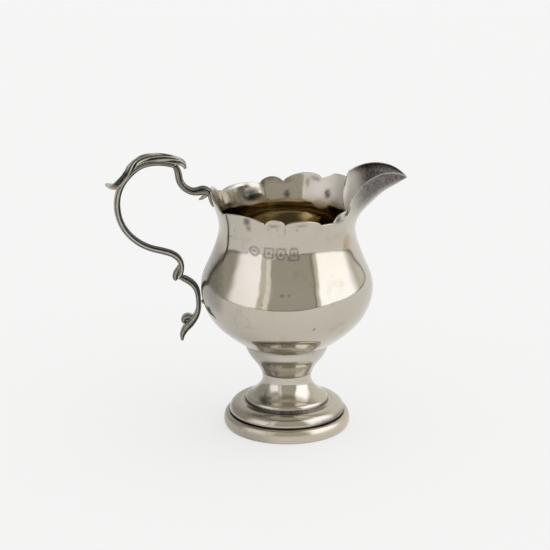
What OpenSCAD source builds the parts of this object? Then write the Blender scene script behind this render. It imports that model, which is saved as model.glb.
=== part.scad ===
// Silver cream jug on a pedestal foot, with a scalloped rim, a drawn pouring lip and a cast scroll handle.
// The jug stands on Z = 0, its axis is the Z axis, the lip points along +X and the handle along -X.

/* [Sheet] */
// Thickness of the raised sheet of the bowl and the foot
sheet = 0.6; // [0.5:0.1:1]

/* [Bowl] */
// Largest radius of the belly
belly_r = 31.1; // [30:0.1:33]
// Height of the belly's widest ring
belly_z = 52.6; // [51:0.1:54]
// Radius of the waist of the neck
waist_r = 24.2; // [23:0.1:25.5]
// Height of the waist of the neck
waist_z = 75.2; // [74:0.1:76]
// Radius of the mouth at the cusps of the rim
mouth_r = 26.4; // [25.5:0.1:27.5]
// Height of the cusps of the rim
cusp_z = 83.5; // [82.5:0.1:84.5]
// Radius of the ring where the stem is soldered under the bowl
collar_r = 15.2; // [14:0.1:16]
// Height of that ring
collar_z = 31; // [30:0.1:32]

/* [Pouring lip] */
// Half of the width of the notch that the lip is let into, at the rim
notch_half_w = 16.8; // [15:0.1:18]
// Height of the bottom of the notch
notch_z = 72.6; // [71:0.1:74]
// Height of the top of the notch
notch_top_z = 87; // [86:0.1:88]
// Distance from the axis to the tip of the lip
tip_x = 42.5; // [40:0.1:44]

/* [Stem and foot] */
// Radius of the narrowest place of the stem
stem_r = 8.8; // [8:0.1:9.5]
// Height of the joint between the stem's two parts
stem_joint_z = 20.2; // [20:0.1:20.6]
// Radius of the edge of the upper step of the foot
step_r = 14.8; // [14:0.1:15.5]
// Radius of the edge of the lower step of the foot
dome_r = 21; // [20.4:0.1:21.2]
// Radius of the wire round the bottom of the foot
wire_r = 22.9; // [22.6:0.1:23.5]
// Height of that wire
wire_h = 5; // [4.6:0.1:5.2]

/* [Handle] */
// Scale of the width of the handle's castings
cast_width = 1; // [0.8:0.05:1.2]

/* [Hidden] */

$fn = 96;
gap = 0.02;              // room for solder between two pieces
high = 100;              // a height above every rim
silver = [0.80, 0.79, 0.76];
shade = [0.62, 0.61, 0.59];
dark = [0.45, 0.44, 0.43];

// Outside of the bowl from the axis up to the highest lobe, as radius and height.
bowl_outline = [
    [0, collar_z - 3.8], [5, collar_z - 3.4], [10, collar_z - 2.1], [collar_r, collar_z + 0.2],
    [19.6, 34.2], [23.6, 37.5], [26.6, 40.6], [28.9, 44.1], [30.3, 47.6],
    [belly_r - 0.1, belly_z - 2], [belly_r, belly_z + 1], [30.8, 56.1], [29.7, 58.9],
    [28.2, 61.9], [26.8, 65.4], [25.6, 68.8], [24.6, 72.1],
    [waist_r, waist_z], [24.5, 77.9], [25.3, 80.3], [mouth_r, cusp_z], [27.1, 86], [27.7, 88.6]];

// Lobes of the rim from the handle to the lip: where each starts along X, its start height, and its crown.
// They were filed by eye, so the two sides of the jug differ a little. The right side is the one towards -Y.
right_lobes = [[-29, 88.4, 0], [-27, 87.9, 0], [-25.2, 85.8, -0.3], [-22.7, 82.9, 2.3],
               [-8, cusp_z - 0.9, 2.4], [-0.7, cusp_z - 0.9, 2.1], [12, cusp_z - 1.4, 0.1], [16.2, 82, 0.4],
               [18.4, 84.9, 0.2], [22.4, 85.8, 0], [30, 86.4, 0]];
left_lobes = [[-29, 88.4, 0], [-27, 87.9, 0], [-25.4, 85.6, -0.2], [-23.2, 84.5, 0.8], [-9.9, cusp_z, 2.2],
              [-1.4, cusp_z, 2.3], [12.6, 85.9, -0.4], [17.4, 88.2, 0], [20.2, 88.4, 0], [30, 88.4, 0]];

// Edge of the lip from the neck to the tip, as X, half width and height, and its keel, as X and height.
lip_edge = [[21.4, notch_half_w, notch_top_z], [22.6, 17.4, 89.6], [24, 16.1, 91.7], [26.4, 13.7, 93.7],
            [29.6, 10.5, 95.6], [33.2, 7.7, 96.5], [36.8, 5.4, 96.3], [39.8, 3.1, 95.3],
            [tip_x - 0.8, 1.4, 93.9], [tip_x, 0.5, 93.3]];
lip_keel = [[waist_r + 0.2, notch_z], [25, 77], [26.6, 80.4], [29.2, 83], [31.8, 86], [34.6, 88.5],
            [37.6, 90.1], [40.2, 91.6], [tip_x - 0.7, 92.7], [tip_x, 93.1]];

// Paths of the handle's castings: X, height, half thickness and half width.
main_path = [[-40, 97.4, 0.7, 1.4], [-41.6, 97.9, 0.75, 1.5], [-45, 98.4, 0.8, 1.6],
             [-48.8, 98.2, 0.85, 1.6], [-52.6, 96.8, 0.9, 1.6], [-56.3, 93.6, 1, 1.6],
             [-59.1, 89.7, 1.2, 1.6], [-60.4, 85.4, 1.3, 1.6], [-60.5, 81, 1.25, 1.6],
             [-59.4, 76.4, 1.15, 1.5], [-56.9, 72.2, 1.1, 1.5], [-53.2, 68.9, 1.1, 1.5],
             [-49, 66.8, 1.1, 1.45], [-44.6, 65.7, 1.15, 1.45], [-41.1, 64.6, 1.15, 1.4],
             [-38.8, 62.8, 1.1, 1.4], [-37.8, 60.3, 1, 1.4], [-37.9, 58, 1, 1.3],
             [-38.4, 56.4, 0.8, 1.2]];
leaf_path = [[-36.1, 96.5, 0.5, 0.9], [-36.9, 98.3, 1, 1.9], [-39.2, 99.4, 1.25, 2.4],
             [-42.6, 100.2, 1.25, 2.6], [-46.4, 100.6, 1.25, 2.7], [-50.1, 100.3, 1.2, 2.75],
             [-53.4, 99, 1.15, 2.75], [-55.7, 97.1, 1.1, 2.75], [-57.8, 94.9, 1.1, 2.7],
             [-59.9, 92.6, 1.2, 2.7], [-61.7, 90.8, 1.2, 2.6], [-63.4, 90.2, 0.85, 2],
             [-64.7, 90.6, 0.3, 0.8]];
upper_path = [[-39.8, 97.3, 0.9, 1.4], [-39, 95.8, 1.15, 1.6], [-38.6, 93.9, 1.3, 1.7],
              [-38.2, 91.9, 1.25, 1.8], [-37, 89.9, 1.15, 1.9], [-35.2, 88.5, 1.1, 2],
              [-33.2, 87.9, 1.15, 2.1], [-31.4, 88.1, 1.4, 2.1], [-29.9, 88.4, 1.5, 2.1],
              [-28.5, 87.9, 1.3, 1.9]];
spur_path = [[-38.4, 61.1, 0.35, 0.9], [-39, 59.2, 0.75, 1.2], [-40.1, 57.4, 1, 1.4],
             [-40.6, 55.8, 0.9, 1.3], [-40.2, 54.6, 0.5, 0.9]];
lower_path = [[-38.7, 56, 0.8, 1.2], [-36.6, 55.2, 1.1, 1.5], [-34.2, 53.6, 1.1, 1.6],
              [-32.7, 51.6, 1.05, 1.6], [-32.1, 49.3, 0.95, 1.5], [-31.9, 46.9, 0.9, 1.5],
              [-31.9, 44.4, 0.95, 1.5], [-32.5, 42, 1.1, 1.6], [-33.7, 39.9, 1.3, 1.7],
              [-35.3, 38, 1.45, 1.8], [-36.8, 36.2, 1.3, 1.6], [-37.8, 34, 1, 1.3],
              [-37.9, 31.8, 0.45, 0.7]];
tail_path = [[-34.4, 40.9, 0.7, 1.3], [-35.9, 41.3, 0.95, 1.6], [-37.4, 40.7, 0.95, 1.6],
             [-38.1, 39.3, 0.75, 1.3], [-37.9, 38.2, 0.4, 0.8]];
pad_z = 46.4;            // height of the solder pad between the lower scroll and the belly

// A point at share t of the way from b to c on the smooth curve through a, b, c and d.
function between(a, b, c, d, t) =
    0.5 * (2 * b + (c - a) * t + (2 * a - 5 * b + 4 * c - d) * t * t + (3 * b - a - 3 * c + d) * t * t * t);

// The smooth curve through a list of points, with steps points for each span.
function smooth(points, steps) = let (last = len(points) - 1) concat(
    [for (i = [0 : last - 1], k = [0 : steps - 1])
        between(points[max(i - 1, 0)], points[i], points[i + 1], points[min(i + 2, last)], k / steps)],
    [points[last]]);

// The unit normal of a plane curve at its point i, on the left of its direction.
function normal(curve, i) = let (
    d = curve[min(i + 1, len(curve) - 1)] - curve[max(i - 1, 0)],
    along = sqrt(d[0] * d[0] + d[1] * d[1]))
    [-d[1], d[0]] / along;

// The same curve moved to its left by a distance, kept on the positive side of the axis.
function beside(curve, distance) = [for (i = [0 : len(curve) - 1])
    let (p = curve[i] + distance * normal(curve, i)) [max(p[0], 0), p[1]]];

function reversed(list) = [for (i = [len(list) - 1 : -1 : 0]) list[i]];

// A power that keeps the sign, for the rounded section of a cast strap.
function eased(value, power) = sign(value) * pow(abs(value), power);

// A cast strap along a path in the XZ plane. Each ring is a rounded bar, thickness across the path and width along Y.
module strap(path, steps = 3, sides = 10) {
    curve = smooth(path, steps);
    rings = len(curve);
    points = [for (i = [0 : rings - 1], j = [0 : sides - 1]) let (
        n = normal(curve, i),
        across = curve[i][2] * eased(cos(360 * (j + 0.5) / sides), 0.8),
        y = cast_width * curve[i][3] * eased(sin(360 * (j + 0.5) / sides), 0.8))
        [curve[i][0] + across * n[0], y, curve[i][1] + across * n[1]]];
    walls = [for (i = [0 : rings - 2], j = [0 : sides - 1]) let (k = (j + 1) % sides)
        [i * sides + j, (i + 1) * sides + j, (i + 1) * sides + k, i * sides + k]];
    ends = [[for (j = [0 : sides - 1]) j],
            [for (j = [sides - 1 : -1 : 0]) (rings - 1) * sides + j]];
    polyhedron(points, concat(walls, ends), convexity = 6);
}

// The outline of the notch for the lip, seen from the front, at an angle from -90 to 90 degrees.
function notch_y(angle) = notch_half_w * sin(angle);
function notch_height(angle) = notch_z + (notch_top_z - notch_z) * pow(1 - cos(angle), 0.85);

// Outside radius of the bowl at a height above the waist, along its own outline.
function neck_r(z) = lookup(z, [for (p = bowl_outline) if (p[1] > 60) [p[1], p[0]]]);

module bowl_section(inside, outside) {
    curve = smooth(bowl_outline, 3);
    polygon(concat(beside(curve, -outside), reversed(beside(curve, inside))));
}

// Everything over one side's lobes, as deep as that side of the jug.
module above_the_rim(lobes) {
    rim = [for (i = [0 : len(lobes) - 2], k = [0 : 7]) let (
        t = k / 8,
        from = lobes[i],
        to = lobes[i + 1])
        [from[0] + (to[0] - from[0]) * t, from[1] + (to[1] - from[1]) * t + from[2] * sqrt(sin(180 * t))]];
    rotate([90, 0, 0])
        linear_extrude(height = 40)
            polygon(concat(rim, [[30, high], [-29, high]]));
}

module notch_for_lip() {
    curve = [for (angle = [-90 : 10 : 90]) [notch_y(angle), notch_height(angle)]];
    translate([10, 0, 0])
        rotate([90, 0, 90])
            linear_extrude(height = 30)
                polygon(concat(curve, [[notch_half_w, high], [-notch_half_w, high]]));
}

module bowl() {
    color(silver)
        difference() {
            rotate_extrude() bowl_section(sheet, 0);
            above_the_rim(right_lobes);
            mirror([0, 1, 0]) above_the_rim(left_lobes);
            notch_for_lip();
        }
}

// A point of the lip's sheet at share s from the neck to the tip and at an angle from edge to edge.
function lip_point(edge, keel, s, angle, inset) = let (
    rise = pow(1 - cos(angle), 0.85 + 0.15 * s),
    half_w = max(edge[1] - inset, 0.12),
    depth = max(edge[2] - keel[1] - inset, 0.12),
    y = half_w * sin(angle),
    z = edge[2] - depth * (1 - rise),
    x = keel[0] + (edge[0] - keel[0]) * rise,
    on_neck = sqrt(pow(neck_r(z) - inset, 2) - y * y),
    hug = pow(max(1 - 2.2 * s, 0), 2))
    [x + (on_neck - x) * hug + 0.02, y, z];

module pouring_lip() {
    edge = smooth(lip_edge, 3);
    keel = smooth(lip_keel, 3);
    rows = len(edge);
    angles = [for (angle = [-90 : 10 : 90]) angle];
    columns = len(angles);
    skin = [for (inset = [0, sheet], i = [0 : rows - 1], angle = angles)
        lip_point(edge[i], keel[i], i / (rows - 1), angle, inset)];
    inner = rows * columns;
    outside = [for (i = [0 : rows - 2], j = [0 : columns - 2]) let (a = i * columns + j)
        [a, a + 1, a + columns + 1, a + columns]];
    inside = [for (i = [0 : rows - 2], j = [0 : columns - 2]) let (a = inner + i * columns + j)
        [a, a + columns, a + columns + 1, a + 1]];
    sides = [for (i = [0 : rows - 2], side = [0, 1]) let (
        a = i * columns + side * (columns - 1),
        b = a + columns)
        side == 0 ? [a, b, inner + b, inner + a] : [a, inner + a, inner + b, b]];
    ends = [for (j = [0 : columns - 2], end = [0, 1]) let (
        a = end * (rows - 1) * columns + j,
        b = a + 1)
        end == 0 ? [a, inner + a, inner + b, b] : [a, b, inner + b, inner + a]];
    color(silver) polyhedron(skin, concat(outside, inside, sides, ends), convexity = 6);
}

// The upper, flared part of the stem: a concave trumpet soldered under the bowl.
module stem_flare() {
    curve = smooth([[stem_r + 0.4, stem_joint_z], [stem_r + 0.9, 21.5], [11, 23.7], [12.7, 25.8], [13.9, 27.6],
                    [14.7, 29.2], [collar_r, collar_z - 0.05]], 3);
    color(shade)
        rotate_extrude()
            polygon(concat(curve, reversed(beside(curve, sheet))));
}

// The lower part of the stem and the two steps of the foot, raised from one sheet.
module foot_dome() {
    stem = smooth([[stem_r + 0.15, stem_joint_z - gap], [stem_r, 18.6], [stem_r, 17.6],
                   [stem_r + 0.6, 15.7], [11, 13.6], [12.8, 12], [step_r - 0.6, 11.1]], 3);
    step = smooth([[step_r, 10.6], [step_r + 0.1, 10], [step_r - 0.2, 9.3], [step_r + 0.2, 8.9]], 2);
    dome = smooth([[16.6, 9], [18.4, 8.8], [19.7, 8.2], [20.6, 7.1], [dome_r, 6], [dome_r - 0.2, wire_h + gap]], 3);
    under = [[dome_r - 0.8, wire_h + gap], [dome_r - 0.7, 5.9], [19.9, 6.8], [19.2, 7.7], [18.2, 8.2], [16.6, 8.4],
             [14.1, 8.4], [13.9, 9.9], [13.6, 10.6], [12.4, 11.5], [10.6, 13.1], [8.9, 15.4],
             [stem_r - sheet, 17.5], [stem_r + 0.15 - sheet, stem_joint_z - gap]];
    color(silver)
        rotate_extrude()
            polygon(concat(stem, step, dome, under));
}

// The drawn moulding soldered round the bottom edge, on which the jug stands.
module foot_wire() {
    color(silver)
        rotate_extrude()
            polygon(concat(
                smooth([[dome_r - 0.1, wire_h], [22, wire_h - 0.1], [wire_r - 0.35, wire_h - 1],
                        [wire_r, 2.4], [wire_r - 0.1, 0.9], [wire_r - 0.7, 0]], 3),
                [[dome_r + 0.2, 0], [dome_r - 0.1, 0.8], [dome_r - 0.7, 3], [dome_r - 0.8, wire_h]]));
}

// The small plate outside the rim, to which the upper scroll is soldered.
module rim_plate() {
    color(shade)
        intersection() {
            rotate_extrude() bowl_section(-0.02, 0.75);
            translate([-24, 0, 85.2])
                rotate([0, -90, 0])
                    cylinder(r = 3, h = 6);
        }
}

module upper_scroll() {
    color(dark) strap(upper_path);
}

module main_scroll() {
    color(silver) strap(main_path);
}

module leaf_cap() {
    color(shade) strap(leaf_path);
}

module scroll_spur() {
    color(dark) strap(spur_path);
}

module lower_scroll() {
    color(shade) strap(lower_path);
}

module tail_leaf() {
    color(dark) strap(tail_path);
}

// The drop of solder that holds the lower scroll to the belly.
module belly_pad() {
    color(dark)
        difference() {
            translate([-31.3, 0, pad_z])
                rotate([0, 90, 0])
                    cylinder(r = 0.8, h = 2.4);
            rotate_extrude() bowl_section(30, 0);
        }
}

bowl();
pouring_lip();
stem_flare();
foot_dome();
foot_wire();
rim_plate();
upper_scroll();
main_scroll();
leaf_cap();
scroll_spur();
lower_scroll();
tail_leaf();
belly_pad();
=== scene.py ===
# %% [markdown]
# # A silver cream jug, built as surfaces
# The CAD model already says where each piece of the jug is and how large it is. Here every piece gets its
# looks. Polished silver has hardly any colour of its own: it shows the room round it, bent by its shape. So
# two things matter most, smooth true surfaces and a room worth reflecting. All lengths are written in
# millimetres and become metres in one place, where a mesh is made.

# %% Load the frame
import math

import bpy
import numpy as np
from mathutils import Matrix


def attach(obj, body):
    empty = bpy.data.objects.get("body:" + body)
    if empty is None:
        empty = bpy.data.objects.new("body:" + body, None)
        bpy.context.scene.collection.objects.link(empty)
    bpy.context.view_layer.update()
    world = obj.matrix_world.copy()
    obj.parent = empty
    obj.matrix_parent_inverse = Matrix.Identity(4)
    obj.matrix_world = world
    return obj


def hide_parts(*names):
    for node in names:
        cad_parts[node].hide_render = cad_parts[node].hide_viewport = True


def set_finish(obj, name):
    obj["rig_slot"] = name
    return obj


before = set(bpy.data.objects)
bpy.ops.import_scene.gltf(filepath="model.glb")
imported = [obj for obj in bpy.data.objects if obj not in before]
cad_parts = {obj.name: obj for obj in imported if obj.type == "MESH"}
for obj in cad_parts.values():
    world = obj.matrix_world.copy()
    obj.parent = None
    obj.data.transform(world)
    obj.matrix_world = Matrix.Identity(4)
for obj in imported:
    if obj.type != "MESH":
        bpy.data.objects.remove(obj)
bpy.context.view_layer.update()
scene = bpy.context.scene
MM = 0.001
print("CAD nodes:", sorted(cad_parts))

# %% [markdown]
# ## Helpers for smooth curves
# A raised bowl has no facets. Its outline is noted as a few points, a smooth curve is led through them, and
# the curve is then evened out with a running average, as a silversmith evens the wall out with a planishing
# hammer.

# %% Curves
def curve_through(points, per_span=24):
    """The Catmull-Rom curve through a list of points: each span is the cubic that leaves a point along the
    line between its two neighbours."""
    p = np.asarray(points, float)
    p = np.vstack([2 * p[0] - p[1], p, 2 * p[-1] - p[-2]])
    t = np.linspace(0, 1, per_span, endpoint=False)[None, :, None]
    a, b, c, d = (p[i:len(p) - 3 + i, None, :] for i in range(4))
    curve = 0.5 * (2 * b + (c - a) * t + (2 * a - 5 * b + 4 * c - d) * t ** 2
                   + (3 * b - a - 3 * c + d) * t ** 3)
    return np.vstack([curve.reshape(-1, p.shape[1]), p[-2]])


def lengths_along(curve):
    """Length of the curve from its start to each of its points, over its first two columns."""
    step = np.hypot(*np.diff(curve[:, :2], axis=0).T)
    return np.concatenate([[0], np.cumsum(step)])


def averaged(curve, spread):
    """A running average of the curve's points with a Gaussian weight, whose spread is a number of points.
    Each end is mirrored through its last point first, so that the ends stay where they are."""
    reach = min(int(3.5 * spread), len(curve) - 1)
    weight = np.exp(-0.5 * (np.arange(-reach, reach + 1) / spread) ** 2)
    before = 2 * curve[0] - curve[reach:0:-1]
    after = 2 * curve[-1] - curve[-2:-reach - 2:-1]
    padded = np.vstack([before, curve, after])
    return np.stack([np.convolve(column, weight / weight.sum(), "valid") for column in padded.T], axis=1)


def evened(points, spread, count=1600):
    """The smooth curve through the points, at count even steps of length, averaged over the given spread in
    mm."""
    curve = curve_through(points)
    along = lengths_along(curve)
    even = np.linspace(0, along[-1], count)
    return averaged(at(even, along, curve), spread / even[1])


def left_of(curve):
    """Unit vectors to the left of a plane curve's direction, one at each of its points."""
    d = np.gradient(curve[:, :2], axis=0)
    d /= np.hypot(d[:, 0], d[:, 1])[:, None]
    return np.stack([-d[:, 1], d[:, 0]], axis=1)


def at(x, xs, ys):
    """Each column of ys read off at x, where xs holds the places of its rows."""
    return np.stack([np.interp(x, xs, column) for column in np.asarray(ys, float).T], axis=-1)


# %% [markdown]
# ## A helper for meshes
# Each surface below is a grid: rows along one parameter, columns along the other. One function makes the
# mesh from the whole array. It closes the columns into a ring, and closes the first and the last row as
# well, so that every piece is a shell with no holes, as it would have to be for a printer.

# %% Mesh from a grid
def grid_faces(rows, columns, rows_meet=False):
    """Quads between neighbouring rows and columns, and back from the last column to the first one. If
    rows_meet, the last row is joined to the first one too."""
    i, j = np.meshgrid(np.arange(rows if rows_meet else rows - 1), np.arange(columns), indexing="ij")
    here, below, k = i * columns, (i + 1) % rows * columns, (j + 1) % columns
    return np.stack([here + j, here + k, below + k, below + j], -1).reshape(-1, 4)


def add_piece(name, grid, slot, stands_for, soil_and_shade=0.0, turn=False, fans=(True, True), brown=0.0, matte=0.0,
              facing=None):
    """A mesh from an array of rows x columns x 3 in mm, with smooth faces, whose columns close into a ring.
    A fan closes the first and the last row at its mean point, or the two rows are joined to each other if
    fans is None. soil is one number for each point, 0 for bright metal and 1 for black; it holds tarnish and
    also painted shade. brown is the same for the film that cream leaves, and matte for worn metal. If facing
    is given, the first row is a long thin slot: a strip closes it, from each column j straight across to
    facing - j."""
    rows, columns, _ = grid.shape
    points = grid.reshape(-1, 3)
    faces = grid_faces(rows, columns, rows_meet=fans is None)
    values = np.stack([np.broadcast_to(v, (rows, columns)).reshape(-1) for v in (soil_and_shade, brown, matte)], axis=1)
    around = np.arange(columns)
    following = (around + 1) % columns
    fan_faces = []
    first_fan, last_fan = fans or (False, False)
    for row, wanted, flip in ((0, first_fan, True), (rows - 1, last_fan, False)):
        if wanted:
            points = np.vstack([points, grid[row].mean(0)])
            values = np.vstack([values, values[row * columns:(row + 1) * columns].mean(0)])
            pole = np.full(columns, len(points) - 1)
            a, b = row * columns + around, row * columns + following
            fan_faces.append(np.stack([pole, b, a] if flip else [pole, a, b], axis=1))
    if facing is not None:
        j = np.arange((facing - columns) // 2, facing // 2)
        a, b, c, d = j % columns, (j + 1) % columns, (facing - j - 1) % columns, (facing - j) % columns
        fan_faces += [np.stack([b, a, c], axis=1)[:-1], np.stack([c, a, d], axis=1)[1:]]
    triangles = np.vstack(fan_faces) if fan_faces else np.zeros((0, 3), int)
    if turn:
        faces, triangles = faces[:, ::-1], triangles[:, ::-1]
    mesh = bpy.data.meshes.new(name)
    loops = np.concatenate([faces.reshape(-1), triangles.reshape(-1)])
    sizes = np.concatenate([np.full(len(faces), 4), np.full(len(triangles), 3)])
    mesh.vertices.add(len(points))
    mesh.loops.add(len(loops))
    mesh.polygons.add(len(sizes))
    mesh.vertices.foreach_set("co", (points * MM).astype(np.float32).reshape(-1))
    mesh.loops.foreach_set("vertex_index", loops.astype(np.int32))
    mesh.polygons.foreach_set("loop_start", (np.cumsum(sizes) - sizes).astype(np.int32))
    mesh.polygons.foreach_set("use_smooth", np.ones(len(sizes), bool))
    mesh.update(calc_edges=True)
    mesh.validate()
    for layer, column in zip(("soil_and_shade", "brown", "matte"), values.T):
        mesh.attributes.new(layer, "FLOAT", "POINT").data.foreach_set("value", column.astype(np.float32))
    piece = bpy.data.objects.new(name, mesh)
    scene.collection.objects.link(piece)
    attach(piece, "root")
    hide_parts(stands_for)
    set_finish(piece, slot)
    print(f"{name}: {len(points)} points, {len(faces) * 2 + len(triangles)} triangles")
    return piece


def turned(profile, angles):
    """A surface of revolution: each profile point (r, z) becomes the circle (r cos a, r sin a, z)."""
    r, z = profile[:, :1], profile[:, 1:2]
    return np.stack([r * np.cos(angles), r * np.sin(angles), z + 0 * angles], axis=-1)


def ripples(x, y, z, size, seed, count=24):
    """A smooth random height between about -1 and 1: the mean of plane waves of random direction, each as
    long as size or up to twice that."""
    draw = np.random.default_rng(seed)
    direction = draw.normal(size=(count, 3))
    direction /= np.linalg.norm(direction, axis=1)[:, None]
    wave = 2 * math.pi / (size * draw.uniform(1, 2, count))
    phase = draw.uniform(0, 2 * math.pi, count)
    total = 0
    for (a, b, c), k, start in zip(direction, wave, phase):
        total = total + np.sin(k * (a * x + b * y + c * z) + start)
    return total / math.sqrt(count)


# %% [markdown]
# ## The bowl
# On the real jug the bowl is one disc of sheet silver, raised with a hammer into a belly and a flared neck.
# Its rim was then cut with shears into lobes. It could be a spun solid with a boolean cut, but a boolean
# leaves long thin faces that show up as dents in a mirror finish. So the wall is one surface of two
# parameters: the angle round the axis, and the length along the outline, which stops at the rim's own
# height for each angle.

# %% Bowl outline
SHEET = 0.6
BOWL_OUTLINE = [
    (0, 27.2), (5, 27.6), (10, 28.9), (15.2, 31.2), (19.6, 34.2), (23.6, 37.5), (26.6, 40.6), (28.9, 44.1),
    (30.3, 47.6), (31, 50.6), (31.1, 53.6), (30.8, 56.1), (29.7, 58.9), (28.2, 61.9), (26.8, 65.4),
    (25.6, 68.8), (24.6, 72.1), (24.2, 75.2), (24.5, 77.9), (25.3, 80.3), (26.4, 83.5), (27.1, 86),
    (27.8, 88.7), (28.5, 91.2)]
bowl_curve = evened(BOWL_OUTLINE, 2.2)
bowl_along = lengths_along(bowl_curve)
bowl_left = left_of(bowl_curve)
print(f"bowl outline {bowl_along[-1]:.1f} mm long, belly {2 * bowl_curve[:, 0].max():.1f} mm across")


def bowl_radius(z):
    """Outside radius of the bowl at a height, read off the outline."""
    return np.interp(z, bowl_curve[:, 1], bowl_curve[:, 0])


# %% [markdown]
# The lobes were cut by eye, so each is noted as its start along the jug, the height there, and how far it
# bulges above the straight line to the next start. The two sides differ a little. Towards the lip the wall
# ends in a wide U-shaped notch that the lip was let into.

# %% Rim heights
RIGHT_LOBES = [(-29, 88.4, 0), (-27, 87.9, 0), (-25.2, 85.8, -0.3), (-22.7, 82.9, 2.3), (-8, 82.6, 2.4),
               (-0.7, 82.6, 2.1), (12, 82.1, 0.1), (16.2, 82, 0.4), (18.4, 84.9, 0.2), (22.4, 85.8, 0),
               (30, 86.4, 0)]
LEFT_LOBES = [(-29, 88.4, 0), (-27, 87.9, 0), (-25.4, 85.6, -0.2), (-23.2, 84.5, 0.8), (-9.9, 83.5, 2.2),
              (-1.4, 83.5, 2.3), (12.6, 85.9, -0.4), (17.4, 88.2, 0), (20.2, 88.4, 0), (30, 88.4, 0)]
NOTCH_HALF, NOTCH_LOW, NOTCH_TOP = 16.8, 72.6, 87  # half its width, its lowest point and its top
TIMES = 12


def lobed_height(x, lobes):
    """Height of the rim at x: the straight line between two starts, plus the lobe's crown times the square
    root of a half sine wave."""
    starts, heights, crowns = np.asarray(lobes, float).T
    i = np.clip(np.searchsorted(starts, x, "right") - 1, 0, len(starts) - 2)
    share = np.clip((x - starts[i]) / (starts[i + 1] - starts[i]), 0, 1)
    return (heights[i] + (heights[i + 1] - heights[i]) * share
            + crowns[i] * np.sqrt(np.abs(np.sin(math.pi * share))))


def rim_height(angles):
    """Height of the rim at each angle round the axis. The cut depends on x = r(z) cos a, and z on the cut,
    so it is worked out again a few times until it settles. At the lip it is the lower of the rim and the
    notch."""
    z = np.full(angles.shape, 85.0)
    for _ in range(TIMES):
        x = bowl_radius(z) * np.cos(angles)
        z = np.where(np.sin(angles) < 0, lobed_height(x, RIGHT_LOBES), lobed_height(x, LEFT_LOBES))
    low = np.full(angles.shape, 80.0)
    for _ in range(TIMES):
        share = np.clip(np.abs(bowl_radius(low) * np.sin(angles)) / NOTCH_HALF, 0, 1)
        low = NOTCH_LOW + (NOTCH_TOP - NOTCH_LOW) * (1 - np.sqrt(1 - share ** 2)) ** 0.85
    in_notch = (np.cos(angles) > 0) & (share < 1)
    return np.where(in_notch, np.minimum(low, z), z)


# %% [markdown]
# Under the rim sit four small struck marks. Real ones name a maker and a town, so here they are plain: a
# round one, a square one, a shield and a gable, each with a raised line inside and nothing written. The
# wall is pressed in by a tenth of a millimetre, and the grid of the bowl is finer there, so the marks are
# real dents.

# %% Columns and rows of the bowl, finer round the struck marks
# Each mark: place along X, height, half width, half height, squareness (2 is an ellipse, 7 nearly a
# square), and how much narrower it gets towards its top.
MARKS = [(-11.5, 73.5, 1.9, 1.8, 2.0, 0.0), (-6.4, 73.4, 1.8, 2.0, 7.0, 0.0),
         (-2.2, 73.3, 1.65, 2.1, 4.0, -0.3), (2.3, 73.1, 1.75, 2.3, 7.0, 0.25)]


def spaced(places, steps):
    """Numbers from places[0] to places[-1], about steps[i] apart between places[i] and places[i + 1]."""
    parts = [np.linspace(a, b, max(2, int(round((b - a) / step)) + 1))[:-1]
             for a, b, step in zip(places[:-1], places[1:], steps)]
    return np.concatenate(parts + [[places[-1]]])


def height_to_length(z):
    """Length along the outline at which the bowl reaches a height."""
    return np.interp(z, bowl_curve[:, 1], bowl_along)


# Degrees round the axis, and the steps between them: the marks lie between -124 and -79 and the lip
# between -52 and 52.
SIDES, SIDE_STEPS = [-180, -124, -79, -52, 52, 180], [1.1, 0.36, 0.8, 0.62, 1.1]
angles = np.radians(spaced(SIDES, SIDE_STEPS))[:-1]
rim_z = rim_height(angles)
rim_length = height_to_length(rim_z)

# Rows are level up to LEVEL_Z, wide apart on the bottom and close under the marks. Above it they stretch
# to the rim.
BOTTOM_Z, MARKS_Z, LEVEL_Z = 33, 70.4, 71.6
bottom_end, marks_start, fixed_top = (height_to_length(z) for z in (BOTTOM_Z, MARKS_Z, LEVEL_Z))
fixed = spaced([0, bottom_end, marks_start, fixed_top], [1.6, 0.85, 0.22])
stretch = spaced([0, 0.4, 1], [0.018, 0.045])[1:]
outer_lengths = np.vstack([np.repeat(fixed[:, None], len(angles), 1),
                           fixed_top + (rim_length - fixed_top) * stretch[:, None]])
print(f"bowl grid: {len(angles)} columns, {len(outer_lengths)} rows outside")


# %% [markdown]
# A struck mark is a stamp's shape pushed into the wall. Its outline is a rounded box whose roundness runs
# from an ellipse to a square, with a soft edge, as the worn marks on an old jug have. The hammer that
# smoothed the bowl left faint waves, which a mirror finish shows as wavy reflections, so they are worth
# their fiftieth of a millimetre.

# %% Depth of the marks and of the hammered surface
PRESS, EDGE_STEEP = 0.09, 18  # a mark's depth in mm, and how sharply its edge drops
LINE_PLACE, LINE_WIDTH, LINE_SHARE = 0.5, 0.22, 0.85  # its line: share of the way out, width, height
BLOW, SMALL_BLOW, SMALL_SHARE = 9, 4, 0.42  # mm, size of the two kinds of wave, and the small one's share


def mark_depth(x, z):
    """How far the wall is pressed in: each mark is a superellipse |u|^n + |v|^n < 1 with a soft edge, and a
    line inside its edge stays high."""
    total = np.zeros(x.shape)
    for place_x, place_z, half_w, half_h, power, taper in MARKS:
        v = (z - place_z) / half_h
        u = (x - place_x) / (half_w * (1 - taper * v))
        reach = (np.abs(u) ** power + np.abs(v) ** power) ** (1 / power)
        floor = 1 / (1 + np.exp((reach - 1) * EDGE_STEEP))
        raised = np.exp(-((reach - LINE_PLACE) / LINE_WIDTH) ** 2)
        total += PRESS * floor * (1 - LINE_SHARE * raised)
    return total


def hammered(x, y, z, amount, seed):
    """The faint unevenness that planishing leaves, as a height in mm: wide waves plus a share of smaller
    ones."""
    wide, small = ripples(x, y, z, BLOW, seed), ripples(x, y, z, SMALL_BLOW, seed + 1)
    return amount * (wide + SMALL_SHARE * small)


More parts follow.
